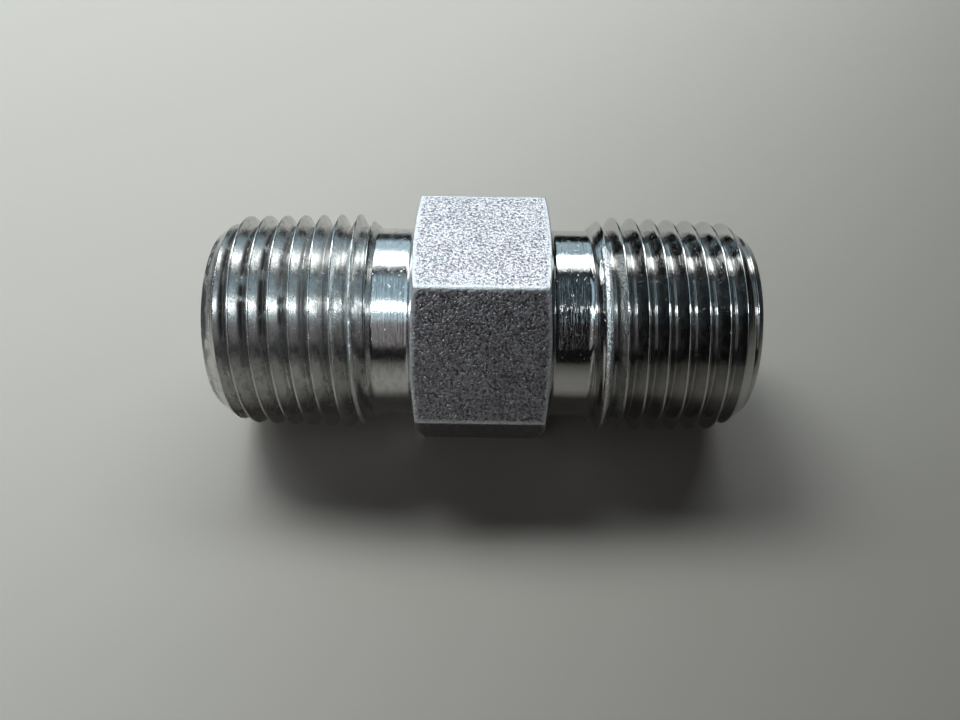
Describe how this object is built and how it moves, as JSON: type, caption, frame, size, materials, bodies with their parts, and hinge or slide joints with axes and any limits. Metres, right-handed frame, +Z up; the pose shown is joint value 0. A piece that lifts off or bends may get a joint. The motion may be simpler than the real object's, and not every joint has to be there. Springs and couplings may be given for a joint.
{
  "type": "hex nipple",
  "caption": "Straight metal pipe nipple with a central hexagon and a right-hand male taper pipe thread on each end, for joining two female-threaded fittings.",
  "frame": {"origin": "middle of the bore's axis, halfway between the two end faces and in the middle of the hexagon", "axes": "+X along the bore, +Z up through a hexagon flat, so that the opposite flat lies on the table; +Y points through a hexagon corner"},
  "size_m": [0.051, 0.0254, 0.022],
  "materials": {
    "plated_steel": "carbon steel with bright, slightly bluish plating; turned threads and necks are glossy, the hexagon's flats are finely grained"
  },
  "bodies": {
    "root": {"nipple_body": "plated_steel"}
  },
  "joints": []
}
